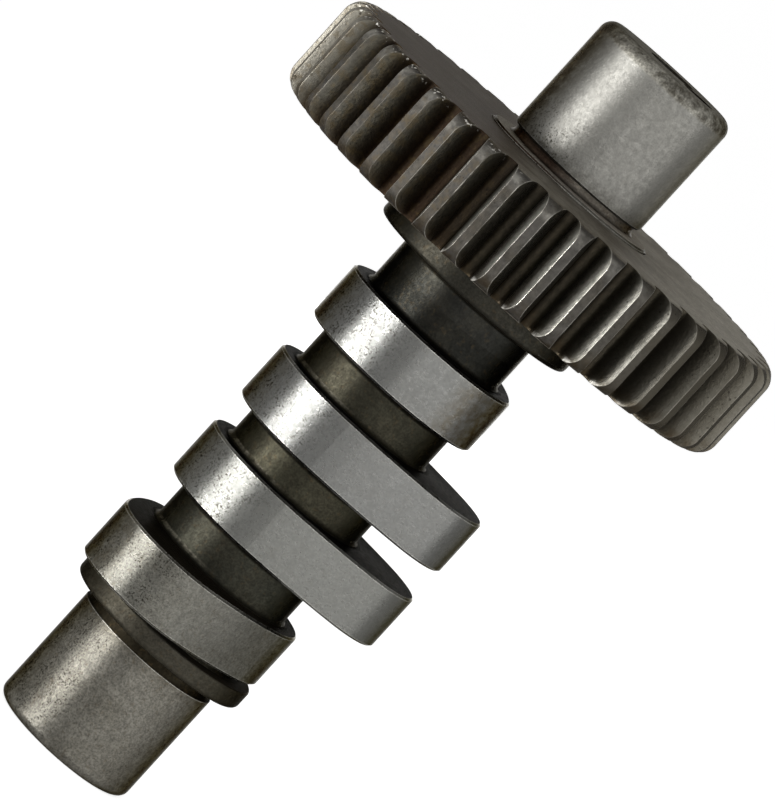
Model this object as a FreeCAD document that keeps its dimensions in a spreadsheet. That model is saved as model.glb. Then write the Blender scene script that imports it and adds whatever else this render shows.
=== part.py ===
import FreeCAD, Part
import os
import math
import Sketcher
from FreeCAD import Vector, Placement, Rotation

# A short camshaft with four lobes between two plain bearing journals, and a
# 42-tooth spur gear pressed and keyed on the seat beside the outer journal.
# Frame: +Z runs along the shaft from the inner journal to the gear end, and the
# origin is the centre of the inner end face, on which the shaft stands.
# All lengths are millimetres and all angles degrees.

doc = FreeCAD.newDocument("camshaft_model")
sheet = doc.addObject("Spreadsheet::Sheet", "sizes")

SIZES = (
    ("journal_dia", "25.4", "diameter of both bearing journals"),
    ("inner_journal_length", "20.4", "inner end face to the relief groove"),
    ("inner_round", "1.4", "rounded corner of the inner end"),
    ("inner_relief_depth", "0.4", "relief groove beside the collar, below the journal"),
    ("inner_relief_width", "1.95", "width of that groove"),
    ("thrust_face_clearance", "0.1", "journal to the start of the flat of each thrust face"),
    ("collar_dia", "32.6", "locating collar"),
    ("collar_width", "3.35", "width of the collar"),
    ("collar_lower_round", "0.222", "its lower corner, as a share of its height above the journal"),
    ("collar_upper_round", "0.4", "rounded outer corner on the lobe side"),
    ("neck_dia", "25.7", "shaft between the lobes"),
    ("neck_fillet", "0.9", "fillet where a neck meets a lobe, collar or flange"),
    ("lobe_width", "9.85", "width of each lobe"),
    ("lobe1_centre", "32.05", "height of the middle of lobe 1"),
    ("lobe2_centre", "48.85", "height of the middle of lobe 2"),
    ("lobe3_centre", "64.6", "height of the middle of lobe 3"),
    ("lobe4_centre", "81.2", "height of the middle of lobe 4"),
    ("lobe1_angle", "246", "direction of the nose of lobe 1 from +X"),
    ("lobe2_angle", "357", "direction of the nose of lobe 2"),
    ("lobe3_angle", "353", "direction of the nose of lobe 3"),
    ("lobe4_angle", "87", "direction of the nose of lobe 4"),
    ("lobe_base_radius", "16.0", "base circle of the lobes"),
    ("lobe_nose_radius", "12.1", "radius of the nose arc"),
    ("lobe_nose_offset", "13.2", "shaft axis to the centre of the nose arc"),
    ("lobe_flank_radius", "49.5", "radius of the two flank arcs"),
    ("lobe_chamfer", "0.35", "broken edge round each lobe"),
    ("flange_start", "95.0", "height of the lower face of the thrust flange"),
    ("flange_width", "4.95", "width of the flange, up to the gear"),
    ("flange_dia", "37.4", "diameter of the flange"),
    ("flange_round", "0.8", "rounded lower corner of the flange"),
    ("seat_dia", "31.2", "gear seat and gear bore"),
    ("seat_proud", "0.5", "height of the seat above the gear face"),
    ("seat_chamfer", "0.12", "its upper edge, as a share of its height above the journal"),
    ("outer_relief_depth", "0.8", "relief groove beside the seat, below the journal"),
    ("outer_relief_width", "1.42", "width of that groove"),
    ("outer_journal_length", "21.53", "relief groove to the outer end face"),
    ("outer_foot_chamfer", "0.35", "broken lower edge of the outer journal"),
    ("outer_round", "2.2", "rounded corner of the outer end"),
    ("centre_mouth_dia", "8.6", "mouth of the centre hole in each end"),
    ("centre_pilot_dia", "4.0", "pilot of the centre hole"),
    ("centre_depth", "8.0", "depth of the straight part of the centre hole"),
    ("centre_angle", "60", "angle of the cone at the mouth of the centre hole"),
    ("drill_angle", "118", "angle of the drill point at its bottom"),
    ("dowel_hole_dia", "5.8", "small blind hole beside the centre in the outer end"),
    ("dowel_hole_depth", "6.0", "depth of that hole"),
    ("dowel_hole_x", "5.5", "its place along X"),
    ("dowel_hole_y", "4.8", "its place along minus Y"),
    ("gear_teeth", "42", "number of teeth"),
    ("gear_tip_dia", "86.8", "diameter over the tooth tips"),
    ("gear_pressure_angle", "20", "pressure angle of the teeth"),
    ("gear_turn", "0.7", "turn of one tooth gap from +X towards +Y"),
    ("gear_width", "17.1", "face width of the gear"),
    ("gear_dedendum", "1.25", "depth below the pitch circle, in modules"),
    ("gear_backlash", "0.06", "thinning of each tooth at the pitch circle"),
    ("gear_flank_low", "0.52", "start of the flank above the root, in modules"),
    ("gear_flank_middle", "0.2", "middle of the flank above the pitch circle, in modules"),
    ("gear_gap_overrun", "0.3", "outline of a gap beyond the tips, in modules"),
    ("gear_end_round", "2.8", "rounded outer corner of both gear faces"),
    ("bore_chamfer", "0.3", "chamfer of the gear bore"),
    ("key_width", "4.0", "width of the drive key and its slots"),
    ("key_length", "12.0", "length of the key with its round ends"),
    ("key_height", "4.0", "height of the key"),
    ("key_sink", "2.4", "depth of the key slot in the shaft"),
    ("key_top_gap", "0.2", "room above the key in the gear"),
    ("slot_overrun", "2.0", "how far a slot is cut past the seat surface"),
)
for row, (alias, value, note) in enumerate(SIZES, start=1):
    sheet.set("A%d" % row, note)
    sheet.set("B%d" % row, value)
    sheet.setAlias("B%d" % row, alias)
doc.recompute()

SAME = 1e-4  # two lengths nearer than this are one


def number(expression):
    """The value of an expression over the named sizes."""
    value = sheet.evalExpression(expression)
    return float(getattr(value, "Value", value))


# Heights along the shaft, each from the sizes of what lies below it.
RELIEF_IN = "sizes.inner_journal_length"
COLLAR = "(%s + sizes.inner_relief_width)" % RELIEF_IN
COLLAR_TOP = "(%s + sizes.collar_width)" % COLLAR
FLANGE = "sizes.flange_start"
GEAR = "(%s + sizes.flange_width)" % FLANGE
SEAT_TOP = "(%s + sizes.gear_width + sizes.seat_proud)" % GEAR
FOOT = "(%s + sizes.outer_relief_width)" % SEAT_TOP
END = "(%s + sizes.outer_journal_length)" % FOOT

# Radii of the relief grooves, and the shoulders' heights above the journals.
INNER_RELIEF = "(sizes.journal_dia / 2 - sizes.inner_relief_depth)"
OUTER_RELIEF = "(sizes.journal_dia / 2 - sizes.outer_relief_depth)"
COLLAR_STEP = "((sizes.collar_dia - sizes.journal_dia) / 2)"
SEAT_STEP = "((sizes.seat_dia - sizes.journal_dia) / 2)"
SEAT_EDGE = "(%s * sizes.seat_chamfer)" % SEAT_STEP


def plane(body, role):
    """One of the origin planes of a body."""
    for feature in body.Origin.OriginFeatures:
        if feature.Role == role:
            return feature
    raise RuntimeError("no plane " + role)


def new_sketch(body, name, role, offset="0", angle=None):
    """A sketch on an origin plane, moved along the normal and turned about it."""
    sketch = body.newObject("Sketcher::SketchObject", name)
    sketch.AttachmentSupport = [(plane(body, role), "")]
    sketch.MapMode = "FlatFace"
    turn = number(angle) if angle else 0.0
    sketch.AttachmentOffset = Placement(
        Vector(0, 0, number(offset)), Rotation(Vector(0, 0, 1), turn)
    )
    if offset != "0":
        sketch.setExpression("AttachmentOffset.Base.z", offset)
    if angle:
        sketch.setExpression("AttachmentOffset.Rotation.Angle", angle + " * 1 deg")
    return sketch


def drive(sketch, kind, expression, *where):
    """A dimension of the sketch, bound to an expression."""
    value = number(expression)
    index = sketch.addConstraint(Sketcher.Constraint(kind, *where, value))
    sketch.setExpression("Constraints[%d]" % index, expression)


def pin_point(sketch, geo, pos, x, y):
    """Hold one point of the sketch at the coordinates x and y."""
    for kind, axis, expression in (("DistanceX", -2, x), ("DistanceY", -1, y)):
        if expression == "0":
            sketch.addConstraint(Sketcher.Constraint("PointOnObject", geo, pos, axis))
        elif expression.startswith("-"):
            drive(sketch, kind, expression[1:], geo, pos, -1, 1)
        else:
            drive(sketch, kind, expression, -1, 1, geo, pos)


def outline(sketch, corners):
    """A closed outline of straight edges through corners (x, y)."""
    points = [Vector(number(x), number(y), 0) for x, y in corners]
    count = len(points)
    first = sketch.GeometryCount
    for i in range(count):
        sketch.addGeometry(Part.LineSegment(points[i], points[(i + 1) % count]), False)
    for i in range(count):
        sketch.addConstraint(
            Sketcher.Constraint("Coincident", first + i, 2, first + (i + 1) % count, 1)
        )
    for i, (x, y) in enumerate(corners):
        pin_point(sketch, first + i, 1, x, y)


def arc(sketch, centre, radius, start, end):
    """An arc, counter-clockwise from start to end, in radians."""
    circle = Part.Circle(centre, Vector(0, 0, 1), radius)
    return sketch.addGeometry(Part.ArcOfCircle(circle, start, end), False)


def edges_where(shape, test):
    """Names of the edges of a shape that pass a test."""
    return ["Edge%d" % (i + 1) for i, edge in enumerate(shape.Edges) if test(edge)]


def ring_at(edge, radius, height):
    """Whether an edge is a full circle of this radius about the shaft at this height."""
    curve = edge.Curve
    if not isinstance(curve, Part.Circle):
        return False
    if abs(curve.Radius - radius) > SAME or abs(curve.Center.z - height) > SAME:
        return False
    return math.hypot(curve.Center.x, curve.Center.y) < SAME and len(edge.Vertexes) == 1


def dress(body, kind, name, base, edges, size_name, expression):
    """A fillet or a chamfer along named edges of the feature before it."""
    if not edges:
        raise RuntimeError("no edges for " + name)
    feature = body.newObject(kind, name)
    feature.Base = (base, edges)
    feature.setExpression(size_name, expression)
    doc.recompute()
    return feature


# The shaft, one piece from end to end: turned profile first.
shaft = doc.addObject("PartDesign::Body", "camshaft")
shaft.Label = "camshaft"

profile = new_sketch(shaft, "shaft_profile", "XZ_Plane")
outline(profile, (
    ("0", "0"),
    ("sizes.journal_dia / 2", "0"),
    ("sizes.journal_dia / 2", RELIEF_IN),
    (INNER_RELIEF, RELIEF_IN),
    (INNER_RELIEF, COLLAR),
    ("sizes.collar_dia / 2", COLLAR),
    ("sizes.collar_dia / 2", COLLAR_TOP),
    ("sizes.neck_dia / 2", COLLAR_TOP),
    ("sizes.neck_dia / 2", FLANGE),
    ("sizes.flange_dia / 2", FLANGE),
    ("sizes.flange_dia / 2", GEAR),
    ("sizes.seat_dia / 2", GEAR),
    ("sizes.seat_dia / 2", "%s - %s" % (SEAT_TOP, SEAT_EDGE)),
    ("sizes.seat_dia / 2 - " + SEAT_EDGE, SEAT_TOP),
    (OUTER_RELIEF, SEAT_TOP),
    (OUTER_RELIEF, FOOT),
    ("sizes.journal_dia / 2 - sizes.outer_foot_chamfer", FOOT),
    ("sizes.journal_dia / 2", FOOT + " + sizes.outer_foot_chamfer"),
    ("sizes.journal_dia / 2", END),
    ("0", END),
))
turned = shaft.newObject("PartDesign::Revolution", "turned_shaft")
turned.Profile = profile
turned.ReferenceAxis = (profile, ["V_Axis"])
turned.Angle = 360
doc.recompute()

# Four cam lobes: a base circle, two flank arcs and a nose arc, all tangent, the
# same outline turned to each nose direction.
base_r = number("sizes.lobe_base_radius")
nose_r = number("sizes.lobe_nose_radius")
nose_c = number("sizes.lobe_nose_offset")
flank_r = number("sizes.lobe_flank_radius")
flank_x = ((flank_r - base_r) ** 2 + nose_c ** 2 - (flank_r - nose_r) ** 2) / (2 * nose_c)
flank_y = -math.sqrt((flank_r - base_r) ** 2 - flank_x ** 2)
base_turn = math.atan2(-flank_y, -flank_x)
nose_turn = math.atan2(-flank_y, nose_c - flank_x)
for k in (1, 2, 3, 4):
    start = "(sizes.lobe%d_centre - sizes.lobe_width / 2)" % k
    sketch = new_sketch(shaft, "lobe%d_outline" % k, "XY_Plane", start, "sizes.lobe%d_angle" % k)
    base = arc(sketch, Vector(0, 0, 0), base_r, base_turn, 2 * math.pi - base_turn)
    upper = arc(sketch, Vector(flank_x, flank_y, 0), flank_r, nose_turn, base_turn)
    nose = arc(sketch, Vector(nose_c, 0, 0), nose_r, -nose_turn, nose_turn)
    lower = arc(sketch, Vector(flank_x, -flank_y, 0), flank_r, -base_turn, -nose_turn)
    for one, two in ((upper, base), (nose, upper), (lower, nose), (base, lower)):
        sketch.addConstraint(Sketcher.Constraint("Tangent", one, 2, two, 1))
    sketch.addConstraint(Sketcher.Constraint("Coincident", base, 3, -1, 1))
    sketch.addConstraint(Sketcher.Constraint("PointOnObject", nose, 3, -1))
    drive(sketch, "DistanceX", "sizes.lobe_nose_offset", -1, 1, nose, 3)
    drive(sketch, "Radius", "sizes.lobe_base_radius", base)
    drive(sketch, "Radius", "sizes.lobe_nose_radius", nose)
    drive(sketch, "Radius", "sizes.lobe_flank_radius", upper)
    drive(sketch, "Radius", "sizes.lobe_flank_radius", lower)
    lobe = shaft.newObject("PartDesign::Pad", "lobe%d" % k)
    lobe.Profile = sketch
    lobe.setExpression("Length", "sizes.lobe_width")
    doc.recompute()

# Fillets in the inner corners, beside the lobes and under the flange. The short
# neck between the collar and lobe 1 has no room for them.
neck_r = number("sizes.neck_dia / 2")
lobe_faces = []
for k in (1, 2, 3, 4):
    lobe_faces.append(number("sizes.lobe%d_centre - sizes.lobe_width / 2" % k))
    lobe_faces.append(number("sizes.lobe%d_centre + sizes.lobe_width / 2" % k))
corners = lobe_faces[1:] + [number(FLANGE)]
inner = dress(
    shaft, "PartDesign::Fillet", "neck_fillets", lobe,
    edges_where(lobe.Shape, lambda e: any(ring_at(e, neck_r, h) for h in corners)),
    "Radius", "sizes.neck_fillet",
)

# Broken edges round the lobes.
def lobe_rim(edge):
    box = edge.BoundBox
    if box.ZLength > SAME or not any(abs(box.ZMin - h) < SAME for h in lobe_faces):
        return False
    reach = [math.hypot(v.Point.x, v.Point.y) for v in edge.Vertexes]
    return min(reach) > base_r - SAME


rims = dress(
    shaft, "PartDesign::Chamfer", "lobe_rims", inner,
    edges_where(inner.Shape, lobe_rim), "Size", "sizes.lobe_chamfer",
)

# Rounded corners of the collar and of the flange.
collar_r = number("sizes.collar_dia / 2")
collar_low = dress(
    shaft, "PartDesign::Fillet", "collar_lower_corner", rims,
    edges_where(rims.Shape, lambda e: ring_at(e, collar_r, number(COLLAR))),
    "Radius", COLLAR_STEP + " * sizes.collar_lower_round",
)
collar_up = dress(
    shaft, "PartDesign::Fillet", "collar_upper_corner", collar_low,
    edges_where(collar_low.Shape, lambda e: ring_at(e, collar_r, number(COLLAR_TOP))),
    "Radius", "sizes.collar_upper_round",
)
flange_corner = dress(
    shaft, "PartDesign::Fillet", "flange_corner", collar_up,
    edges_where(
        collar_up.Shape,
        lambda e: ring_at(e, number("sizes.flange_dia / 2"), number(FLANGE)),
    ),
    "Radius", "sizes.flange_round",
)

# Corner radii where each relief groove runs into its thrust face. The flat of
# the face then starts just outside the journal, so a washer can lie on it.
inner_foot = dress(
    shaft, "PartDesign::Fillet", "inner_relief_corner", flange_corner,
    edges_where(
        flange_corner.Shape,
        lambda e: ring_at(e, number(INNER_RELIEF), number(COLLAR)),
    ),
    "Radius", "sizes.inner_relief_depth + sizes.thrust_face_clearance",
)
outer_foot = dress(
    shaft, "PartDesign::Fillet", "outer_relief_corner", inner_foot,
    edges_where(
        inner_foot.Shape,
        lambda e: ring_at(e, number(OUTER_RELIEF), number(SEAT_TOP)),
    ),
    "Radius", "sizes.outer_relief_depth + sizes.thrust_face_clearance",
)

# Rounded corners of both ends of the shaft.
journal_r = number("sizes.journal_dia / 2")
inner_end = dress(
    shaft, "PartDesign::Fillet", "inner_end_corner", outer_foot,
    edges_where(outer_foot.Shape, lambda e: ring_at(e, journal_r, 0)),
    "Radius", "sizes.inner_round",
)
outer_end = dress(
    shaft, "PartDesign::Fillet", "outer_end_corner", inner_end,
    edges_where(inner_end.Shape, lambda e: ring_at(e, journal_r, number(END))),
    "Radius", "sizes.outer_round",
)


def cut(body, kind, name, sketch, base, **settings):
    """A feature that takes material away, checked to do so."""
    feature = body.newObject(kind, name)
    feature.Profile = sketch
    expressions = settings.pop("expressions", {})
    for key, value in settings.items():
        setattr(feature, key, value)
    for key, value in expressions.items():
        feature.setExpression(key, value)
    doc.recompute()
    if feature.Shape.isNull() or feature.Shape.Volume > base.Shape.Volume - 1.0:
        raise RuntimeError(name + " takes nothing away")
    return feature


# Centre holes in both ends: a cone at the mouth, a pilot with a drill point.
CONE = "((sizes.centre_mouth_dia - sizes.centre_pilot_dia) / 2 / tan(sizes.centre_angle / 2 * 1 deg))"
POINT = "(sizes.centre_pilot_dia / 2 / tan(sizes.drill_angle / 2 * 1 deg))"
drilled = new_sketch(shaft, "inner_centre_outline", "XZ_Plane")
outline(drilled, (
    ("0", "0"),
    ("sizes.centre_mouth_dia / 2", "0"),
    ("sizes.centre_pilot_dia / 2", CONE),
    ("sizes.centre_pilot_dia / 2", "sizes.centre_depth"),
    ("0", "sizes.centre_depth + " + POINT),
))
inner_centre = cut(
    shaft, "PartDesign::Groove", "inner_centre_hole", drilled, outer_end,
    ReferenceAxis=(drilled, ["V_Axis"]), Angle=360,
)
drilled = new_sketch(shaft, "outer_centre_outline", "XZ_Plane")
outline(drilled, (
    ("0", END),
    ("sizes.centre_mouth_dia / 2", END),
    ("sizes.centre_pilot_dia / 2", END + " - " + CONE),
    ("sizes.centre_pilot_dia / 2", END + " - sizes.centre_depth"),
    ("0", END + " - sizes.centre_depth - " + POINT),
))
outer_centre = cut(
    shaft, "PartDesign::Groove", "outer_centre_hole", drilled, inner_centre,
    ReferenceAxis=(drilled, ["V_Axis"]), Angle=360,
)

# A blind hole beside the centre of the outer end face.
dowel = new_sketch(shaft, "dowel_outline", "XY_Plane", END)
spot = Vector(number("sizes.dowel_hole_x"), -number("sizes.dowel_hole_y"), 0)
hole = dowel.addGeometry(
    Part.Circle(spot, Vector(0, 0, 1), number("sizes.dowel_hole_dia / 2")), False
)
drive(dowel, "Radius", "sizes.dowel_hole_dia / 2", hole)
pin_point(dowel, hole, 3, "sizes.dowel_hole_x", "-sizes.dowel_hole_y")
dowel_hole = cut(
    shaft, "PartDesign::Pocket", "dowel_hole", dowel, outer_centre,
    expressions={"Length": "sizes.dowel_hole_depth"},
)


# The key lies on the far side of the seat, half way along the gear.
KEY_FLOOR = "(sizes.seat_dia / 2 - sizes.key_sink)"
KEY_MIDDLE = "(%s + sizes.gear_width / 2)" % GEAR
KEY_HALF = "(sizes.key_length - sizes.key_width) / 2"


def key_outline(body, name):
    """The long round-ended outline that the key and its slot share."""
    sketch = new_sketch(body, name, "XZ_Plane", "-" + KEY_FLOOR)
    radius = number("sizes.key_width / 2")
    high = number("%s + %s" % (KEY_MIDDLE, KEY_HALF))
    low = number("%s - %s" % (KEY_MIDDLE, KEY_HALF))
    top = arc(sketch, Vector(0, high, 0), radius, 0, math.pi)
    bottom = arc(sketch, Vector(0, low, 0), radius, math.pi, 2 * math.pi)
    left = sketch.addGeometry(
        Part.LineSegment(Vector(-radius, high, 0), Vector(-radius, low, 0)), False
    )
    right = sketch.addGeometry(
        Part.LineSegment(Vector(radius, low, 0), Vector(radius, high, 0)), False
    )
    for one, two in ((top, left), (left, bottom), (bottom, right), (right, top)):
        sketch.addConstraint(Sketcher.Constraint("Tangent", one, 2, two, 1))
    pin_point(sketch, top, 3, "0", "%s + %s" % (KEY_MIDDLE, KEY_HALF))
    pin_point(sketch, bottom, 3, "0", "%s - %s" % (KEY_MIDDLE, KEY_HALF))
    drive(sketch, "Radius", "sizes.key_width / 2", top)
    drive(sketch, "Radius", "sizes.key_width / 2", bottom)
    return sketch


key_slot = cut(
    shaft, "PartDesign::Pocket", "key_slot", key_outline(shaft, "key_slot_outline"), dowel_hole,
    expressions={"Length": "sizes.key_sink + sizes.slot_overrun"},
)

key = doc.addObject("PartDesign::Body", "drive_key")
key.Label = "drive_key"
key_blank = key.newObject("PartDesign::Pad", "key_blank")
key_blank.Profile = key_outline(key, "key_blank_outline")
key_blank.Reversed = True
key_blank.setExpression("Length", "sizes.key_height")
doc.recompute()

# The gear, built on its own lower face and lifted to its place on the shaft.
gear = doc.addObject("PartDesign::Body", "cam_gear")
gear.Label = "cam_gear"
TIP = "(sizes.gear_tip_dia / 2)"
MODULE = "(sizes.gear_tip_dia / (sizes.gear_teeth + 2))"
PITCH = "(%s * sizes.gear_teeth / 2)" % MODULE
ROOT = "(%s - %s * sizes.gear_dedendum)" % (PITCH, MODULE)
BASE = "(%s * cos(sizes.gear_pressure_angle * 1 deg))" % PITCH

blank_profile = new_sketch(gear, "gear_blank_profile", "XZ_Plane")
outline(blank_profile, (
    ("sizes.seat_dia / 2 + sizes.bore_chamfer", "0"),
    (TIP, "0"),
    (TIP, "sizes.gear_width"),
    ("sizes.seat_dia / 2 + sizes.bore_chamfer", "sizes.gear_width"),
    ("sizes.seat_dia / 2", "sizes.gear_width - sizes.bore_chamfer"),
    ("sizes.seat_dia / 2", "sizes.bore_chamfer"),
))
blank = gear.newObject("PartDesign::Revolution", "gear_blank")
blank.Profile = blank_profile
blank.ReferenceAxis = (blank_profile, ["V_Axis"])
blank.Angle = 360
doc.recompute()
tip_r = number(TIP)
round_blank = dress(
    gear, "PartDesign::Fillet", "gear_end_rounds", blank,
    edges_where(
        blank.Shape,
        lambda e: ring_at(e, tip_r, 0) or ring_at(e, tip_r, number("sizes.gear_width")),
    ),
    "Radius", "sizes.gear_end_round",
)


def roll(radius):
    """The involute angle of the flank at a radius, in radians."""
    lean = "acos(%s / %s)" % (BASE, radius)
    return "(tan(%s) - %s / 1 rad)" % (lean, lean)


def half_gap(radius):
    """Half the angle of the gap between two teeth at a radius."""
    pressed = "(tan(sizes.gear_pressure_angle * 1 deg) - sizes.gear_pressure_angle * pi / 180)"
    slack = "sizes.gear_backlash / (2 * %s)" % PITCH
    return "((pi / (2 * sizes.gear_teeth) + %s - %s + %s) * 1 rad)" % (slack, pressed, roll(radius))


def flank_point(radius):
    """Where the upper flank of the gap along +X crosses a radius."""
    turn = half_gap(radius)
    return "%s * cos(%s)" % (radius, turn), "%s * sin(%s)" % (radius, turn)


# One gap: two flanks, each an arc through three points of the involute, and a
# round root that joins them.
gap = new_sketch(
    gear, "tooth_gap_outline", "XY_Plane", "sizes.gear_width", "sizes.gear_turn")
LOW = "(%s + %s * sizes.gear_flank_low)" % (ROOT, MODULE)
MIDDLE = "(%s + %s * sizes.gear_flank_middle)" % (PITCH, MODULE)
HIGH = "(%s + %s * sizes.gear_gap_overrun)" % (TIP, MODULE)


def spot_of(pair, mirror=1):
    """A flank point as a vector, or its mirror image on the lower flank."""
    return Vector(number(pair[0]), mirror * number(pair[1]), 0)


low, middle, high = flank_point(LOW), flank_point(MIDDLE), flank_point(HIGH)
up = gap.addGeometry(
    Part.Arc(spot_of(low), spot_of(middle), spot_of(high)), False
)
down = gap.addGeometry(
    Part.Arc(spot_of(low, -1), spot_of(middle, -1), spot_of(high, -1)), False
)
root = gap.addGeometry(
    Part.Arc(spot_of(low), Vector(number(ROOT), 0, 0), spot_of(low, -1)), False
)
shut = gap.addGeometry(Part.LineSegment(spot_of(high), spot_of(high, -1)), False)
marks = []
for pair, sign in ((middle, 1), (middle, -1)):
    marks.append(gap.addGeometry(Part.Point(spot_of(pair, sign)), True))
foot_mark = gap.addGeometry(Part.Point(Vector(number(ROOT), 0, 0)), True)


def end_at(geo, point):
    """Which end of an arc lies at a point."""
    return 1 if gap.getPoint(geo, 1).distanceToPoint(point) < SAME else 2


gap.addConstraint(Sketcher.Constraint(
    "Coincident", up, end_at(up, spot_of(low)), root, end_at(root, spot_of(low))))
gap.addConstraint(Sketcher.Constraint(
    "Coincident", down, end_at(down, spot_of(low, -1)), root, end_at(root, spot_of(low, -1))))
gap.addConstraint(Sketcher.Constraint("Coincident", up, end_at(up, spot_of(high)), shut, 1))
gap.addConstraint(Sketcher.Constraint("Coincident", down, end_at(down, spot_of(high, -1)), shut, 2))
pin_point(gap, up, end_at(up, spot_of(low)), *low)
pin_point(gap, up, end_at(up, spot_of(high)), *high)
pin_point(gap, down, end_at(down, spot_of(low, -1)), low[0], "-" + low[1])
pin_point(gap, down, end_at(down, spot_of(high, -1)), high[0], "-" + high[1])
pin_point(gap, marks[0], 1, *middle)
pin_point(gap, marks[1], 1, middle[0], "-" + middle[1])
pin_point(gap, foot_mark, 1, ROOT, "0")
gap.addConstraint(Sketcher.Constraint("PointOnObject", marks[0], 1, up))
gap.addConstraint(Sketcher.Constraint("PointOnObject", marks[1], 1, down))
gap.addConstraint(Sketcher.Constraint("PointOnObject", foot_mark, 1, root))
first_gap = cut(
    gear, "PartDesign::Pocket", "tooth_gap", gap, round_blank, Type="ThroughAll",
)
teeth = gear.newObject("PartDesign::PolarPattern", "teeth")
teeth.Originals = [first_gap]
teeth.Axis = (gap, ["N_Axis"])
teeth.Angle = 360
teeth.setExpression("Occurrences", "sizes.gear_teeth")
gear.Tip = teeth
doc.recompute()

keyway_outline = new_sketch(gear, "keyway_outline", "XY_Plane", "sizes.gear_width")
KEYWAY_TOP = "(%s + sizes.key_height + sizes.key_top_gap)" % KEY_FLOOR
outline(keyway_outline, (
    ("-sizes.key_width / 2", "sizes.seat_dia / 2 - sizes.slot_overrun"),
    ("sizes.key_width / 2", "sizes.seat_dia / 2 - sizes.slot_overrun"),
    ("sizes.key_width / 2", KEYWAY_TOP),
    ("-sizes.key_width / 2", KEYWAY_TOP),
))
keyway = cut(
    gear, "PartDesign::Pocket", "keyway", keyway_outline, teeth, Type="ThroughAll",
)
gear.setExpression("Placement.Base.z", GEAR)
doc.recompute()

# Every object must have come out sound before anything is written.
for item in doc.Objects:
    if any(state in ("Invalid", "Error") for state in item.State):
        raise RuntimeError("%s: %s" % (item.Name, item.State))
    if item.isDerivedFrom("Sketcher::SketchObject"):
        redundant = list(item.RedundantConstraints) + list(item.ConflictingConstraints)
        if redundant:
            raise RuntimeError("%s has constraints that clash: %s" % (item.Name, redundant))

os.makedirs("parts", exist_ok=True)
for body in (shaft, key, gear):
    shape = body.Shape
    if shape.isNull() or not shape.isValid() or len(shape.Solids) != 1:
        raise RuntimeError("bad shape in " + body.Label)
    shape.exportStep("parts/%s.step" % body.Label)
    box = shape.BoundBox
    print("%s volume %.1f mm3, X %.2f to %.2f, Y %.2f to %.2f, Z %.2f to %.2f" % (
        body.Label, shape.Volume, box.XMin, box.XMax, box.YMin, box.YMax, box.ZMin, box.ZMax))
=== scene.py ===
import math
import bpy
from mathutils import Matrix, Vector

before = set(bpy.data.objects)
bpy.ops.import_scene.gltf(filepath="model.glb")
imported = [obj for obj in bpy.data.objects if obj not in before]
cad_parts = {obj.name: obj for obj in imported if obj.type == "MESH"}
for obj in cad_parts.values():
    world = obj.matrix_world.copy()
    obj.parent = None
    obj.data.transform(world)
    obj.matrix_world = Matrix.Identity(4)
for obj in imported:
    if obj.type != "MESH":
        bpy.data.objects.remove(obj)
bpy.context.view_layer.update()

# A used camshaft: ground journals and lobes on a dark turned shaft, with an oily
# hobbed gear pressed on beside the outer journal. It stands on its inner end.
# Lengths in the tables are millimetres, as on the drawing of the part.

MM_PER_METRE = 1000.0

# How deep the grain goes, in metres, as Bump takes it.
SHAFT_GRAIN_DEPTH, GEAR_GRAIN_DEPTH, KEY_LINE_DEPTH = 0.000022, 0.00007, 0.00002

# The shaft from its inner end up: where each stretch starts, its colour, its
# roughness, and how much rust and brown oil sits on it (0 to 1).
SHAFT_STRETCHES = (
    (-1.0, "#1d1b17", 0.60, 0.40),    # very edge of the inner end
    (0.25, "#54524c", 0.32, 0.60),    # inner journal, ground
    (20.40, "#18150f", 0.50, 0.70),   # relief groove
    (22.35, "#2e2c26", 0.50, 0.45),   # collar
    (25.75, "#191813", 0.50, 0.60),   # short neck
    (27.10, "#504f4a", 0.29, 0.45),   # lobe 1, ground
    (37.00, "#22221d", 0.44, 0.50),   # neck
    (43.90, "#555552", 0.29, 0.14),   # lobe 2
    (53.80, "#24231c", 0.42, 0.50),   # neck
    (59.65, "#535351", 0.29, 0.14),   # lobe 3
    (69.55, "#21201a", 0.42, 0.45),   # neck
    (76.25, "#4f4f4d", 0.29, 0.14),   # lobe 4
    (86.15, "#141412", 0.38, 0.35),   # neck above lobe 4
    (90.90, "#191917", 0.38, 0.30),   # a shade paler above a faint turned line
    (94.95, "#21201c", 0.44, 0.45),   # thrust flange
    (99.90, "#45433e", 0.45, 0.30),   # gear seat
    (117.50, "#46423c", 0.42, 0.50),  # relief groove
    (119.00, "#605f5b", 0.45, 0.13),  # outer journal, ground
)

# Square faces, from the inner end up: the inner end face, the faces of collar and
# lobe 1, those of the other lobes, the faces of the flange, the shoulder above the
# gear, the outer end face. The lobe faces are dark with oil and painted shade.
SQUARE_FACES = (
    (-1.0, "#5d5a53"), (10.0, "#1a1712"), (40.0, "#080706"), (94.0, "#1a1712"),
    (110.0, "#6a655d"), (130.0, "#5b5953"))

# Heights between which each of these lies, and the heights of the sharp corners of
# both journals at their relief grooves.
LOBES = (27.0, 86.2)
LOBE_4 = (76.2, 86.2)
NECKS_AND_COLLAR = (21.0, 100.0)
OUTER_GROOVE = (117.0, 119.0)
OUTER_JOURNAL = (118.9, 150.0)
JOURNAL_CORNERS = (20.4, 119.0)

# Heights over which the rounded corner of the outer end begins and over which the
# tiny pits thin out, and how far from a relief groove the grime reaches.
END_CORNER_Z = (138.0, 138.6)
PITTED_Z = (129.0, 122.0)
GRIME_REACH = 2.7

# Places along X where marks begin and where they are in full. Most are on the brown
# side of the shaft, towards -X: the stain on the outer journal, oil on the lobes and
# in the groove, painted glints on the fillets, and tiny pits. Lobe 4 is oily towards
# +X.
STAINED_X = (-8.6, -11.4)
OILY_X = (-11.0, -15.0)
OILY_GROOVE_X = (1.0, -4.0)
FILLET_GLINT_X = (-0.5, -4.0)
PITTED_X = (-1.0, -4.5)
OILY_LOBE_4_X = (7.5, 10.5)

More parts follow.
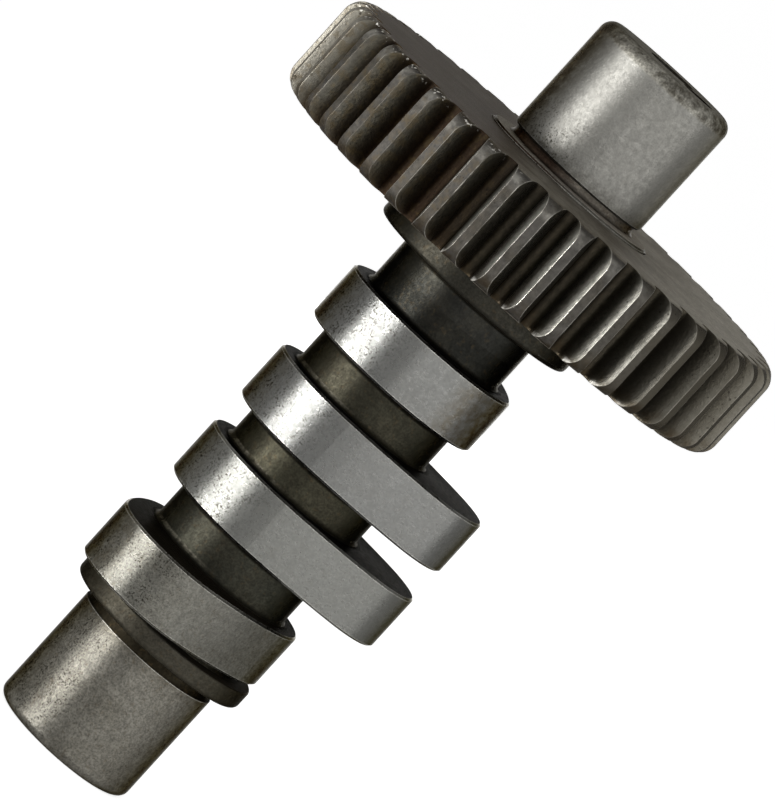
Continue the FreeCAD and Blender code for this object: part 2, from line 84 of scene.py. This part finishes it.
# Radii that tell the necks from the rest, the holes in the ends from the end faces,
# the edges of the journals, and those of the lobes, the collar and the flange.
NECK_FILLET_TOP = 14.0
HOLES_WITHIN = 10.35
JOURNAL_EDGE = 12.55
PROUD_FROM = 14.5

# The gear lies between heights 99.95 and 117.05. Radii: the floor of its gaps, its
# tooth tips, where rubbed tips with painted glints begin, and where the bore rim ends.
GAP_FLOOR, TOOTH_TIP = 38.96, 43.4
TIPS_FROM, RIM_WITHIN = 40.3, 18.5

# Its flanks from the gap floor out, by places from 0 to 1: painted shade towards the
# floor, dark on the side that coasts, rubbed grey with a painted highlight on the side
# that drives.
COASTING_FLANK = (
    (0.0, "#2c2820"), (0.3, "#312e27"), (0.8, "#393731"), (0.97, "#403e39"))
DRIVING_FLANK = (
    (0.0, "#2c2820"), (0.3, "#35322b"), (0.6, "#504e47"), (0.93, "#98968e"))

# Places along X where marks on the gear begin and where they are in full: old oil
# caked on the teeth, rust in the gaps, pale teeth with painted light, rubbed edges with
# painted glints, painted light on the faces, and painted highlights on the lands.
CAKED_X = (14.0, 30.0)
RUSTY_X = (-3.0, -14.0)
PALE_LIT_X = (-37.5, -40.5)
GLINT_EDGE_X = (-26.0, -10.0)
LIT_FACE_X = (16.0, 30.0)
LAND_HIGHLIGHT_X = (22.0, 12.0)

# The same for heights (Z) and radii (R) of marks on the teeth: rust and painted shade
# on their lower ends, painted highlights near the upper ends of the lands, painted
# glints at the lower corners of the driving flanks, and chips along the upper ends.
SHADED_END_Z = (104.0, 101.0)
LAND_HIGHLIGHT_Z, LAND_HIGHLIGHT_BELOW_Z = (113.6, 115.2), (116.8, 115.9)
LAND_HIGHLIGHT_R = (42.0, 42.6)
CORNER_GLINT_Z, CORNER_GLINT_R = (100.9, 100.5), (40.4, 41.2)
CHIPPED_Z = (115.9, 116.4)
CHIPPED_R, CHIPPED_WITHIN_R = (39.6, 40.2), (43.0, 42.6)


def from_hex(code):
    """An sRGB hex colour in linear light, as the shader sockets take it."""
    channels = []
    for start in (1, 3, 5):
        value = int(code[start:start + 2], 16) / 255
        if value <= 0.04045:
            channels.append(value / 12.92)
        else:
            channels.append(((value + 0.055) / 1.055) ** 2.4)
    return channels + [1.0]


def add(tree, kind, takes=None, **options):
    """Add one shader node with its options; takes maps a socket to a value or link."""
    node = tree.nodes.new("ShaderNode" + kind)
    for option, value in options.items():
        setattr(node, option, value)
    for name, value in (takes or {}).items():
        if isinstance(name, int):
            socket = node.inputs[name]
        else:
            socket = next(s for s in node.inputs if s.enabled and s.name == name)
        if isinstance(value, bpy.types.NodeSocket):
            tree.links.new(value, socket)
        else:
            socket.default_value = value
    return next((s for s in node.outputs if s.enabled), node)


def blank_material(name):
    """An empty node material, ready for a shader."""
    material = bpy.data.materials.new(name)
    material.use_nodes = True
    material.node_tree.nodes.clear()
    return material, material.node_tree


def lie_of_surface(tree):
    """Place in mm, place along X, height up the shaft, radius from its axis, and how
    square the surface is to the axis (0 on the sides, 1 on the end faces)."""
    place = add(tree, "VectorMath", {
        0: add(tree, "TexCoord").node.outputs["Object"], "Scale": MM_PER_METRE,
    }, operation="SCALE")
    parts = add(tree, "SeparateXYZ", {0: place}).node.outputs
    across = add(tree, "VectorMath", {
        0: place, 1: Vector((1, 1, 0))}, operation="MULTIPLY")
    radius = add(tree, "VectorMath", {0: across}, operation="LENGTH")
    radius = radius.node.outputs["Value"]
    facing = add(tree, "NewGeometry").node.outputs["Normal"]
    square = add(tree, "Math", {
        0: add(tree, "SeparateXYZ", {0: facing}).node.outputs["Z"],
    }, operation="ABSOLUTE")
    return place, parts["X"], parts["Z"], radius, square


def between(tree, height, low, high):
    """1 on the stretch of the shaft between two heights, 0 outside it."""
    above = add(tree, "Math", {0: height, 1: low}, operation="GREATER_THAN")
    below = add(tree, "Math", {0: height, 1: high}, operation="LESS_THAN")
    return add(tree, "Math", {0: above, 1: below}, operation="MULTIPLY")


def patches(tree, place, size_mm, detail, low, high, least=0.0, most=1.0):
    """Random patches about size_mm across, whose tone runs from least to most; the
    closer low and high are, the harder the patches' borders."""
    tone = add(tree, "TexNoise", {
        "Vector": place, "Scale": 1.0 / size_mm, "Detail": detail, "Roughness": 0.6})
    return add(tree, "MapRange", {"Value": tone, 1: low, 2: high, 3: least, 4: most})


def coat(tree, colour, code, share, *where):
    """Lay a coat of dirt, rust or rubbed metal over the colour. It lies where every
    one of where is 1 and hides that share of the colour. Gives the new colour and
    the coat's cover."""
    cover = where[0]
    for mask in where[1:]:
        cover = add(tree, "Math", {0: cover, 1: mask}, operation="MULTIPLY")
    hides = add(tree, "Math", {0: cover, 1: share}, operation="MULTIPLY")
    colour = add(tree, "Mix", {
        "Factor": hides, 6: colour, 7: from_hex(code)}, data_type="RGBA")
    return colour, cover


def mottled(tree, colour, tone, swing):
    """The colour made darker and lighter, by up to swing, by a tone from -1 to 1."""
    shade = add(tree, "Math", {0: tone, 1: swing, 2: 1.0}, operation="MULTIPLY_ADD")
    return add(tree, "Mix", {"Factor": 1.0, 6: colour, 7: shade},
               data_type="RGBA", blend_type="MULTIPLY")


def rounded_edge(tree, width_mm):
    """A rounded normal for sharp edges, and 1 within that width of such an edge."""
    rounded = add(tree, "Bevel", {"Radius": width_mm / MM_PER_METRE}, samples=8)
    facing = add(tree, "NewGeometry").node.outputs["Normal"]
    turn = add(tree, "VectorMath", {0: rounded, 1: facing}, operation="DOT_PRODUCT")
    edge = add(tree, "MapRange", {
        "Value": turn.node.outputs["Value"], 1: 0.99, 2: 0.92})
    return rounded, edge


def small_pits(tree, place, spacing_mm, size_mm, area_mm):
    """1 inside small round pits, which come in groups about area_mm across."""
    dots = add(tree, "TexVoronoi", {"Vector": place, "Scale": 1.0 / spacing_mm})
    size = patches(tree, place, area_mm, 2.0, 0.42, 0.72, 0.0, size_mm / spacing_mm)
    return add(tree, "Math", {0: dots, 1: size}, operation="LESS_THAN")


def ground_and_turned_steel():
    """Hardened steel: ground lands shine in one soft band, turned necks stay dull."""
    material, tree = blank_material("ground_and_turned_steel")
    place, x, height, radius, square = lie_of_surface(tree)

    # Each stretch lies over the one below it, from its own height up.
    colour, finish = from_hex(SHAFT_STRETCHES[0][1]), (0.0, 0.0, 0.0, 1.0)
    for start, code, rough, dirt in SHAFT_STRETCHES:
        higher = add(tree, "Math", {0: height, 1: start}, operation="GREATER_THAN")
        colour = add(tree, "Mix", {
            "Factor": higher, 6: colour, 7: from_hex(code)}, data_type="RGBA")
        finish = add(tree, "Mix", {
            "Factor": higher, 6: finish, 7: (rough, dirt, 0.0, 1.0)}, data_type="RGBA")
    parts = add(tree, "SeparateColor", {"Color": finish}).node
    rough, dirt = parts.outputs["Red"], parts.outputs["Green"]

    # The rounded corner of the outer end is rough, pale and blotched.
    corner = add(tree, "MapRange", {
        "Value": height, 1: END_CORNER_Z[0], 2: END_CORNER_Z[1]})
    colour = coat(tree, colour, "#706e67", 1.0, corner)[0]
    blotch = patches(tree, place, 1.6, 5.0, 0.43, 0.60)
    colour = coat(tree, colour, "#37342e", 0.75, corner, blotch)[0]
    rough = add(tree, "Math", {0: corner, 1: 0.08, 2: rough}, operation="MULTIPLY_ADD")
    dirt = add(tree, "Math", {0: corner, 1: 0.5, 2: dirt}, operation="MULTIPLY_ADD")

    # Dirt gathers on both journals towards the relief grooves.
    low_corner, high_corner = JOURNAL_CORNERS
    from_middle = add(tree, "Math", {
        0: height, 1: (low_corner + high_corner) / 2}, operation="SUBTRACT")
    past_groove = add(tree, "Math", {
        0: add(tree, "Math", {0: from_middle}, operation="ABSOLUTE"),
        1: (high_corner - low_corner) / 2}, operation="SUBTRACT")
    on_journal = add(tree, "Math", {0: past_groove, 1: -0.05}, operation="GREATER_THAN")
    near_groove = add(tree, "MapRange", {
        "Value": past_groove, 1: GRIME_REACH, 2: 0.0})
    grimy = patches(tree, place, 1.4, 4.0, 0.3, 0.65, 0.3, 1.0)
    colour, grime = coat(tree, colour, "#2f2b22", 0.55, on_journal, near_groove, grimy)
    dirt = add(tree, "Math", {0: grime, 1: 0.5, 2: dirt}, operation="MULTIPLY_ADD")

    # Old oil has dried brown along one side of the outer journal.
    outer = between(tree, height, *OUTER_JOURNAL)
    stained_side = add(tree, "MapRange", {"Value": x, 1: STAINED_X[0], 2: STAINED_X[1]})
    colour = coat(tree, colour, "#36322a", 0.8, outer, stained_side,
                  patches(tree, place, 1.2, 5.0, 0.30, 0.55, 0.35, 1.0))[0]

    # Brown oil also sits on that side of the lobes and of the groove beside the
    # gear, and on the other side of lobe 4.
    patchy = patches(tree, place, 1.3, 5.0, 0.32, 0.62, 0.1, 1.0)
    among_lobes = between(tree, height, *LOBES)
    colour = coat(tree, colour, "#3f3a2f", 0.6, patchy, among_lobes,
                  add(tree, "MapRange", {"Value": x, 1: OILY_X[0], 2: OILY_X[1]}))[0]
    colour = coat(tree, colour, "#39342a", 0.7, patchy, between(tree, height, *LOBE_4),
                  add(tree, "MapRange", {
                      "Value": x, 1: OILY_LOBE_4_X[0], 2: OILY_LOBE_4_X[1]}))[0]
    colour = coat(tree, colour, "#2b1f17", 0.85, between(tree, height, *OUTER_GROOVE),
                  add(tree, "MapRange", {
                      "Value": x, 1: OILY_GROOVE_X[0], 2: OILY_GROOVE_X[1]}))[0]

    # Square faces were never ground: dark with oil, on the lobes with painted shade
    # too;
    # the inner corners get oil and painted shade, most of all those that look down.
    flat = add(tree, "MapRange", {"Value": square, 1: 0.85, 2: 0.97},
               interpolation_type="SMOOTHSTEP")
    flat_colour = from_hex(SQUARE_FACES[0][1])
    for start, code in SQUARE_FACES:
        higher = add(tree, "Math", {0: height, 1: start}, operation="GREATER_THAN")
        flat_colour = add(tree, "Mix", {
            "Factor": higher, 6: flat_colour, 7: from_hex(code)}, data_type="RGBA")
    colour = add(tree, "Mix", {
        "Factor": flat, 6: colour, 7: flat_colour}, data_type="RGBA")
    rough = add(tree, "Math", {0: flat, 1: 0.25, 2: rough}, operation="MULTIPLY_ADD")
    facing = add(tree, "NewGeometry").node.outputs["Normal"]
    upward = add(tree, "SeparateXYZ", {0: facing}).node.outputs["Z"]
    on_neck = add(tree, "Math", {0: radius, 1: NECK_FILLET_TOP}, operation="LESS_THAN")
    # Painted shade in the inner corners of necks and collar, darkest where they look
    # down.
    colour, corner_oil_and_shade = coat(
        tree, colour, "#0c0b08", 0.9, on_neck, between(tree, height, *NECKS_AND_COLLAR),
        add(tree, "MapRange", {"Value": square, 1: 0.03, 2: 0.25}),
        add(tree, "MapRange", {"Value": upward, 1: 0.02, 2: -0.02, 3: 0.35}))
    rough = add(tree, "Math", {0: corner_oil_and_shade, 1: 0.25, 2: rough}, operation="MULTIPLY_ADD")

    # Painted glints in spots on the fillets above the lobes, on the brown side.
    colour = coat(
        tree, colour, "#504d44", 0.6, among_lobes, on_neck,
        add(tree, "MapRange", {"Value": upward, 1: 0.05, 2: 0.2}),
        add(tree, "MapRange", {"Value": upward, 1: 0.8, 2: 0.6}),
        add(tree, "MapRange", {"Value": x, 1: FILLET_GLINT_X[0], 2: FILLET_GLINT_X[1]}),
        patches(tree, place, 1.4, 5.0, 0.40, 0.60))[0]

    # Painted shade: a darker reflection tint keeps the sides of the lobes dark at a low
    # angle too.
    shaded_lobe_sides = add(tree, "Math", {0: flat, 1: among_lobes}, operation="MULTIPLY")
    sheen = coat(tree, from_hex("#93918b"), "#5f5d57", 1.0, shaded_lobe_sides)[0]

    # The holes in the outer end are black: oil and painted shade in the recess.
    colour = coat(
        tree, colour, "#0c0b08", 0.9, outer,
        add(tree, "Math", {0: square, 1: 0.9}, operation="LESS_THAN"),
        add(tree, "Math", {0: radius, 1: HOLES_WITHIN}, operation="LESS_THAN"))[0]

    # Broad cloudy tone of the old oil film, brown where it is thick, and a mottled
    # tone in spots about 1 mm across. Both are faint on the clean lobes.
    colour = coat(tree, colour, "#322f26", 0.55, dirt,
                  patches(tree, place, 7.0, 4.0, 0.42, 0.68))[0]
    swing = add(tree, "MapRange", {"Value": dirt, 1: 0.1, 2: 0.6, 3: 0.05, 4: 0.22})
    spots = patches(tree, place, 1.0, 5.0, 0.3, 0.7, -1.0, 1.0)
    colour = mottled(tree, colour, spots, swing)

    # Edges of lobes, collar and flange are rubbed bright and painted with glints, and
    # those of the journals half as much.
    proud = add(tree, "Math", {0: radius, 1: PROUD_FROM}, operation="GREATER_THAN")
    journal_rim = add(tree, "Math", {
        0: add(tree, "Math", {0: radius, 1: JOURNAL_EDGE}, operation="GREATER_THAN"),
        1: on_journal}, operation="MULTIPLY")
    worn_glint_places = add(tree, "Math", {
        0: journal_rim, 1: 0.5, 2: proud}, operation="MULTIPLY_ADD", use_clamp=True)
    colour = coat(tree, colour, "#aeaca5", 0.8, rounded_edge(tree, 0.24)[1], worn_glint_places,
                  patches(tree, place, 2.5, 3.0, 0.25, 0.5))[0]

    # Rust specks about 0.5 mm across, and small dark pits, 0.2 mm, where it is dirty.
    colour = coat(tree, colour, "#342b1d", 0.5, dirt,
                  patches(tree, place, 0.9, 3.0, 0.58, 0.66))[0]
    colour, pit = coat(tree, colour, "#1c1914", 0.7, dirt,
                       small_pits(tree, place, 1.1, 0.20, 6.0))

    # The brown side is peppered with tiny pits, about 0.15 mm, all but the outer end.
    colour = coat(
        tree, colour, "#1f1d18", 0.92,
        add(tree, "MapRange", {"Value": height, 1: PITTED_Z[0], 2: PITTED_Z[1]}),
        add(tree, "MapRange", {"Value": x, 1: PITTED_X[0], 2: PITTED_X[1]}),
        patches(tree, place, 0.33, 3.0, 0.54, 0.60),
        patches(tree, place, 2.5, 3.0, 0.36, 0.60, 0.15, 1.0))[0]

    # Grinding and turning lines run round the shaft, drawn 0.35 mm apart, much
    # coarser than the real ones. The grain of the worn surface, 0.3 mm, and shallow
    # dents 0.5 mm apart break the highlight into specks.
    drawn_out = add(tree, "VectorMath", {
        0: place, 1: Vector((0.02, 0.02, 1.0))}, operation="MULTIPLY")
    lines = add(tree, "TexNoise", {
        "Vector": drawn_out, "Scale": 1.0 / 0.35, "Detail": 2.0})
    grain = add(tree, "TexNoise", {
        "Vector": place, "Scale": 1.0 / 0.34, "Detail": 4.0, "Roughness": 0.6})
    dents = add(tree, "MapRange", {
        "Value": add(tree, "TexVoronoi", {"Vector": place, "Scale": 1.0 / 0.5}),
        1: 0.0, 2: 0.42}, interpolation_type="SMOOTHSTEP")
    relief = add(tree, "Math", {0: lines, 1: 0.3, 2: grain}, operation="MULTIPLY_ADD")
    relief = add(tree, "Math", {0: dents, 1: 0.2, 2: relief}, operation="MULTIPLY_ADD")
    relief = add(tree, "Math", {0: relief, 1: pit}, operation="SUBTRACT")
    bump = add(tree, "Bump", {
        "Height": relief, "Strength": 1.0, "Distance": SHAFT_GRAIN_DEPTH})
    swing = add(tree, "MapRange", {"Value": dirt, 1: 0.1, 2: 0.6, 3: 0.06, 4: 0.26})
    fleck = add(tree, "MapRange", {"Value": grain, 1: 0.38, 2: 0.62, 3: -1.0, 4: 1.0})
    colour = mottled(tree, colour, fleck, swing)
    dull = patches(tree, place, 0.8, 5.0, 0.35, 0.65, -0.05, 0.07)
    rough = add(tree, "Math", {0: rough, 1: dull}, operation="ADD")

    around = add(tree, "Tangent", direction_type="RADIAL", axis="Z")
    shader = add(tree, "BsdfPrincipled", {
        "Base Color": colour, "Metallic": 1.0, "Roughness": rough, "Normal": bump,
        "Specular Tint": sheen, "Anisotropic": 0.5,
        "Anisotropic Rotation": 0.25, "Tangent": around,
    })
    add(tree, "OutputMaterial", {"Surface": shader})
    return material


def hobbed_gear_steel():
    """Hobbed steel, dark with oil: driving flanks rubbed grey with a painted highlight,
    gaps brown-black with painted shade.
    """
    material, tree = blank_material("hobbed_gear_steel")
    place, x, height, radius, square = lie_of_surface(tree)
    depth = add(tree, "MapRange", {"Value": radius, 1: GAP_FLOOR, 2: TOOTH_TIP})

    # Which way round the shaft the surface faces: -1 on the driving flanks, 1 on
    # the coasting ones, 0 on the lands and in the roots.
    facing = add(tree, "NewGeometry").node.outputs["Normal"]
    outward = add(tree, "VectorMath", {0: place}, operation="NORMALIZE")
    ahead = add(tree, "VectorMath", {
        0: Vector((0, 0, 1)), 1: outward}, operation="CROSS_PRODUCT")
    side = add(tree, "VectorMath", {0: facing, 1: ahead}, operation="DOT_PRODUCT")
    side = side.node.outputs["Value"]
    flank = add(tree, "MapRange", {
        "Value": add(tree, "Math", {0: side}, operation="ABSOLUTE"), 1: 0.12, 2: 0.25})
    driving = add(tree, "Math", {0: side, 1: 0.0}, operation="LESS_THAN")

    # Both flanks darken towards the gap floor, painted shade in the gaps; the driving
    # flanks pale towards the tips, rubbed and with a painted highlight.
    sides = []
    for stops in (COASTING_FLANK, DRIVING_FLANK):
        tone = add(tree, "ValToRGB", {"Fac": depth})
        ramp = tone.node.color_ramp
        while len(ramp.elements) < len(stops):
            ramp.elements.new(1.0)
        for element, (way, code) in zip(ramp.elements, stops):
            element.position = way
            element.color = from_hex(code)
        sides.append(tone)
    flank_colour = add(tree, "Mix", {"Factor": driving, 6: sides[0], 7: sides[1]},
                       data_type="RGBA")
    # The roots are darker than the lands: painted shade in the gaps.
    land = add(tree, "MapRange", {"Value": depth, 1: 0.5, 2: 0.6})
    colour = coat(tree, from_hex("#2a261f"), "#3b3936", 1.0, land)[0]
    colour = add(tree, "Mix", {
        "Factor": flank, 6: colour, 7: flank_colour}, data_type="RGBA")
    flat = add(tree, "MapRange", {"Value": square, 1: 0.90, 2: 0.98},
               interpolation_type="SMOOTHSTEP")
    colour = coat(tree, colour, "#5b574f", 1.0, flat)[0]

    # Cloudy oil film, dry pale patches on the faces, painted light over the faces
    # towards
    # +X, and a mottled tone in 0.8 mm spots.
    colour = coat(tree, colour, "#2e291e", 0.45,
                  patches(tree, place, 6.0, 4.0, 0.45, 0.70))[0]
    colour = coat(tree, colour, "#75726a", 0.35, flat,
                  patches(tree, place, 6.0, 4.0, 0.50, 0.38))[0]
    colour = coat(tree, colour, "#8a877f", 0.45, flat,
                  add(tree, "MapRange", {
                      "Value": x, 1: LIT_FACE_X[0], 2: LIT_FACE_X[1]}))[0]
    spots = patches(tree, place, 0.8, 5.0, 0.3, 0.7, -1.0, 1.0)
    colour = mottled(tree, colour, spots, 0.33)

    # Teeth on the side towards the noses of lobes 2 and 3 are caked with old oil, and
    # those opposite are painted pale: painted light.
    caked = add(tree, "MapRange", {"Value": x, 1: CAKED_X[0], 2: CAKED_X[1]})
    colour = coat(tree, colour, "#37342d", 0.9, caked,
                  add(tree, "MapRange", {"Value": flat, 3: 1.0, 4: 0.0}))[0]
    pale_lit_teeth = add(tree, "MapRange", {"Value": x, 1: PALE_LIT_X[0], 2: PALE_LIT_X[1]})
    colour = coat(tree, colour, "#67645c", 0.6, pale_lit_teeth)[0]

    # Rust and painted shade in patches on the lower ends of the teeth.
    patchy = patches(tree, place, 2.2, 3.0, 0.42, 0.62, 0.2, 1.0)
    low = add(tree, "MapRange", {
        "Value": height, 1: SHADED_END_Z[0], 2: SHADED_END_Z[1]})
    colour = coat(tree, colour, "#2b2317", 0.7, low, patchy)[0]

    # On the side away from the caked teeth the gaps are rusty brown.
    rusty_side = add(tree, "MapRange", {"Value": x, 1: RUSTY_X[0], 2: RUSTY_X[1]})
    colour = coat(tree, colour, "#291d15", 0.65, rusty_side,
                  add(tree, "MapRange", {"Value": depth, 1: 0.75, 2: 0.15}))[0]
    colour = coat(tree, colour, "#39301f", 0.5, rusty_side,
                  patches(tree, place, 1.6, 4.0, 0.50, 0.62))[0]

    # Tooth tips and the rim of the bore are rubbed bright and painted with glints,
    # least on the pale teeth and under the caked oil; the rim gets a white painted
    # glint.
    rounded, edge = rounded_edge(tree, 0.2)
    worn = patches(tree, place, 2.0, 3.0, 0.35, 0.6)
    tips = add(tree, "Math", {0: radius, 1: TIPS_FROM}, operation="GREATER_THAN")
    rim = add(tree, "Math", {0: radius, 1: RIM_WITHIN}, operation="LESS_THAN")
    worn_glint_places = add(tree, "Math", {0: tips, 1: rim}, operation="ADD")
    edge_glint_side = add(tree, "MapRange", {
        "Value": x, 1: GLINT_EDGE_X[0], 2: GLINT_EDGE_X[1], 3: 0.2, 4: 1.0})
    clean = add(tree, "Math", {0: 1.0, 1: caked}, operation="SUBTRACT")
    barely = add(tree, "Math", {0: clean, 1: 0.3}, operation="MAXIMUM")
    colour, rubbed_glint = coat(
        tree, colour, "#8f8d86", 0.8, edge, worn, worn_glint_places, edge_glint_side, barely)
    colour = coat(tree, colour, "#d2d0ca", 1.0, rubbed_glint, rim)[0]

    # Painted highlights on the rounded upper end of each land, and painted glints on
    # the lower corner of each driving flank.
    colour = coat(
        tree, colour, "#77756f", 0.7, patchy,
        add(tree, "MapRange", {
            "Value": height, 1: LAND_HIGHLIGHT_Z[0], 2: LAND_HIGHLIGHT_Z[1]}),
        add(tree, "MapRange", {
            "Value": height, 1: LAND_HIGHLIGHT_BELOW_Z[0], 2: LAND_HIGHLIGHT_BELOW_Z[1]}),
        add(tree, "MapRange", {
            "Value": radius, 1: LAND_HIGHLIGHT_R[0], 2: LAND_HIGHLIGHT_R[1]}),
        add(tree, "MapRange", {"Value": flank, 3: 1.0, 4: 0.0}),
        add(tree, "MapRange", {
            "Value": x, 1: LAND_HIGHLIGHT_X[0], 2: LAND_HIGHLIGHT_X[1]}))[0]
    colour = coat(
        tree, colour, "#c9c7c0", 1.0, driving, flank, worn, clean,
        add(tree, "MapRange", {
            "Value": height, 1: CORNER_GLINT_Z[0], 2: CORNER_GLINT_Z[1]}),
        add(tree, "MapRange", {
            "Value": radius, 1: CORNER_GLINT_R[0], 2: CORNER_GLINT_R[1]}))[0]

    # Chips along the upper ends of the teeth, on the rusty side.
    colour = coat(
        tree, colour, "#b5b3ac", 1.0, rusty_side,
        patches(tree, place, 0.7, 2.0, 0.61, 0.66),
        add(tree, "MapRange", {"Value": height, 1: CHIPPED_Z[0], 2: CHIPPED_Z[1]}),
        add(tree, "MapRange", {"Value": radius, 1: CHIPPED_R[0], 2: CHIPPED_R[1]}),
        add(tree, "MapRange", {
            "Value": radius, 1: CHIPPED_WITHIN_R[0], 2: CHIPPED_WITHIN_R[1]}))[0]

    # Small dark pits all over, and larger ones on the pale-painted teeth.
    colour, pit = coat(tree, colour, "#1c1914", 0.6,
                       small_pits(tree, place, 0.8, 0.20, 7.0))
    colour = coat(tree, colour, "#2a261f", 0.8, pale_lit_teeth,
                  small_pits(tree, place, 1.3, 0.42, 3.0))[0]
    grain = add(tree, "TexNoise", {
        "Vector": place, "Scale": 1.0 / 0.45, "Detail": 3.0, "Roughness": 0.6})
    relief = add(tree, "Math", {0: grain, 1: pit}, operation="SUBTRACT")
    bump = add(tree, "Bump", {
        "Height": relief, "Strength": 1.0, "Distance": GEAR_GRAIN_DEPTH,
        "Normal": rounded})
    rough = add(tree, "MapRange", {"Value": flank, 3: 0.62, 4: 0.40})
    rough = add(tree, "Math", {0: rubbed_glint, 1: -0.25, 2: rough}, operation="MULTIPLY_ADD")
    shader = add(tree, "BsdfPrincipled", {
        "Base Color": colour, "Metallic": 0.85, "Roughness": rough, "Normal": bump,
        "Specular Tint": from_hex("#8f8c84"),
    })
    add(tree, "OutputMaterial", {"Surface": shader})
    return material


def drawn_key_steel():
    """Cold-drawn key steel: bright and plain, with fine lines along its length."""
    material, tree = blank_material("drawn_key_steel")
    place = lie_of_surface(tree)[0]
    drawn_out = add(tree, "VectorMath", {
        0: place, 1: Vector((1.0, 1.0, 0.04))}, operation="MULTIPLY")
    lines = add(tree, "TexNoise", {
        "Vector": drawn_out, "Scale": 1.0 / 0.3, "Detail": 2.0})
    colour = add(tree, "Mix", {
        "Factor": lines, 6: from_hex("#5f5c55"), 7: from_hex("#77756d"),
    }, data_type="RGBA")
    bump = add(tree, "Bump", {
        "Height": lines, "Strength": 0.2, "Distance": KEY_LINE_DEPTH})
    shader = add(tree, "BsdfPrincipled", {
        "Base Color": colour, "Metallic": 1.0, "Roughness": 0.32, "Normal": bump})
    add(tree, "OutputMaterial", {"Surface": shader})
    return material


FINISHES = {
    "camshaft": ground_and_turned_steel,
    "cam_gear": hobbed_gear_steel,
    "drive_key": drawn_key_steel,
}
for node_name, finish in FINISHES.items():
    material = finish()
    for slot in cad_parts[node_name].material_slots:
        slot.material = material


def seen_directly(tree):
    """1 for the rays that show a surface or its mirror image, 0 for light on it."""
    rays = add(tree, "LightPath").node.outputs
    mirrored = add(tree, "Math", {
        0: rays["Is Glossy Ray"], 1: rays["Is Transmission Ray"]}, operation="MAXIMUM")
    return add(tree, "Math", {
        0: rays["Is Camera Ray"], 1: mirrored}, operation="MAXIMUM")


# White paper floor and surroundings. Rays that the camera, metal or glass sends
# out find white; the floor's own diffuse part keeps the shadow of the shaft.
FLOOR_HALF = 15.0  # metres from the middle to an edge
FLOOR_GLOW = 0.72  # what the lit paper lacks to full white
SKY_LIGHT = 0.35   # plain light from all round
floor_mesh = bpy.data.meshes.new("paper_floor")
floor_mesh.from_pydata(
    [(-FLOOR_HALF, -FLOOR_HALF, 0), (FLOOR_HALF, -FLOOR_HALF, 0),
     (FLOOR_HALF, FLOOR_HALF, 0), (-FLOOR_HALF, FLOOR_HALF, 0)], [], [(0, 1, 2, 3)])
floor = bpy.data.objects.new("paper_floor", floor_mesh)
bpy.context.scene.collection.objects.link(floor)
paper, tree = blank_material("white_paper")
glow = add(tree, "Emission", {
    "Color": from_hex("#ffffff"),
    "Strength": add(tree, "MapRange", {"Value": seen_directly(tree), 4: FLOOR_GLOW})})
sheet = add(tree, "BsdfDiffuse", {"Color": from_hex("#e6e6e6")})
add(tree, "OutputMaterial", {"Surface": add(tree, "AddShader", {0: glow, 1: sheet})})
floor_mesh.materials.append(paper)

world = bpy.data.worlds.new("studio")
bpy.context.scene.world = world
world.use_nodes = True
tree = world.node_tree
tree.nodes.clear()
strength = add(tree, "MapRange", {"Value": seen_directly(tree), 3: SKY_LIGHT, 4: 1.0})
sky = add(tree, "Background", {"Color": from_hex("#ffffff"), "Strength": strength})
add(tree, "OutputWorld", {"Surface": sky})


def softbox(name, azimuth, height, distance, width, tall, watts):
    """An upright soft lamp facing the shaft, sizes and the height of its middle in
    metres; azimuth 0 degrees is over the camera and negative is to its left."""
    lamp = bpy.data.lights.new(name, "AREA")
    lamp.shape = "RECTANGLE"
    lamp.size = width
    lamp.size_y = tall
    lamp.energy = watts
    box = bpy.data.objects.new(name, lamp)
    bpy.context.scene.collection.objects.link(box)
    turn = math.radians(azimuth)
    away = Vector((math.sin(turn), -math.cos(turn), 0.0))
    box.location = away * distance + Vector((0, 0, height))
    box.rotation_euler = away.to_track_quat("Z", "Y").to_euler()
    box.visible_camera = False


# Name, azimuth, height of its middle, distance, width, how tall it is, watts.
SOFTBOXES = (
    ("low_strip_left", -54, 0.038, 0.50, 0.30, 0.072, 3.5),
    ("window_right", 47, 0.105, 0.60, 1.10, 0.20, 3.0),
    ("front_card", -2, 0.122, 0.25, 0.20, 0.05, 0.10),
    ("back_right", 130, 0.12, 0.70, 0.30, 0.20, 0.35),
    ("back_card", -170, 0.10, 0.70, 0.90, 0.24, 1.6),
)
for lamp_row in SOFTBOXES:
    softbox(*lamp_row)


# The camera of the photograph: level with the shaft, 6.7 degrees above square to
# it, about 0.95 m away, and rolled so that the shaft runs to the upper right.
CAMERA_AIM = Vector((0.00163, 0.0, 0.07382))
CAMERA_DISTANCE = 0.9521
CAMERA_RISE = math.radians(6.7)
CAMERA_ROLL = math.radians(42.3)
FOCAL_LENGTH, SENSOR_WIDTH = 279.0, 36.0  # mm

camera_data = bpy.data.cameras.new("photo_camera")
camera_data.lens = FOCAL_LENGTH
camera_data.sensor_width = SENSOR_WIDTH
camera = bpy.data.objects.new("photo_camera", camera_data)
bpy.context.scene.collection.objects.link(camera)
back = Vector((0, -math.cos(CAMERA_RISE), math.sin(CAMERA_RISE)))
facing = back.to_track_quat("Z", "Y").to_matrix().to_4x4()
camera.matrix_world = (
    Matrix.Translation(CAMERA_AIM + back * CAMERA_DISTANCE)
    @ facing @ Matrix.Rotation(CAMERA_ROLL, 4, "Z"))
bpy.context.scene.camera = camera
bpy.context.scene.view_settings.view_transform = "Standard"
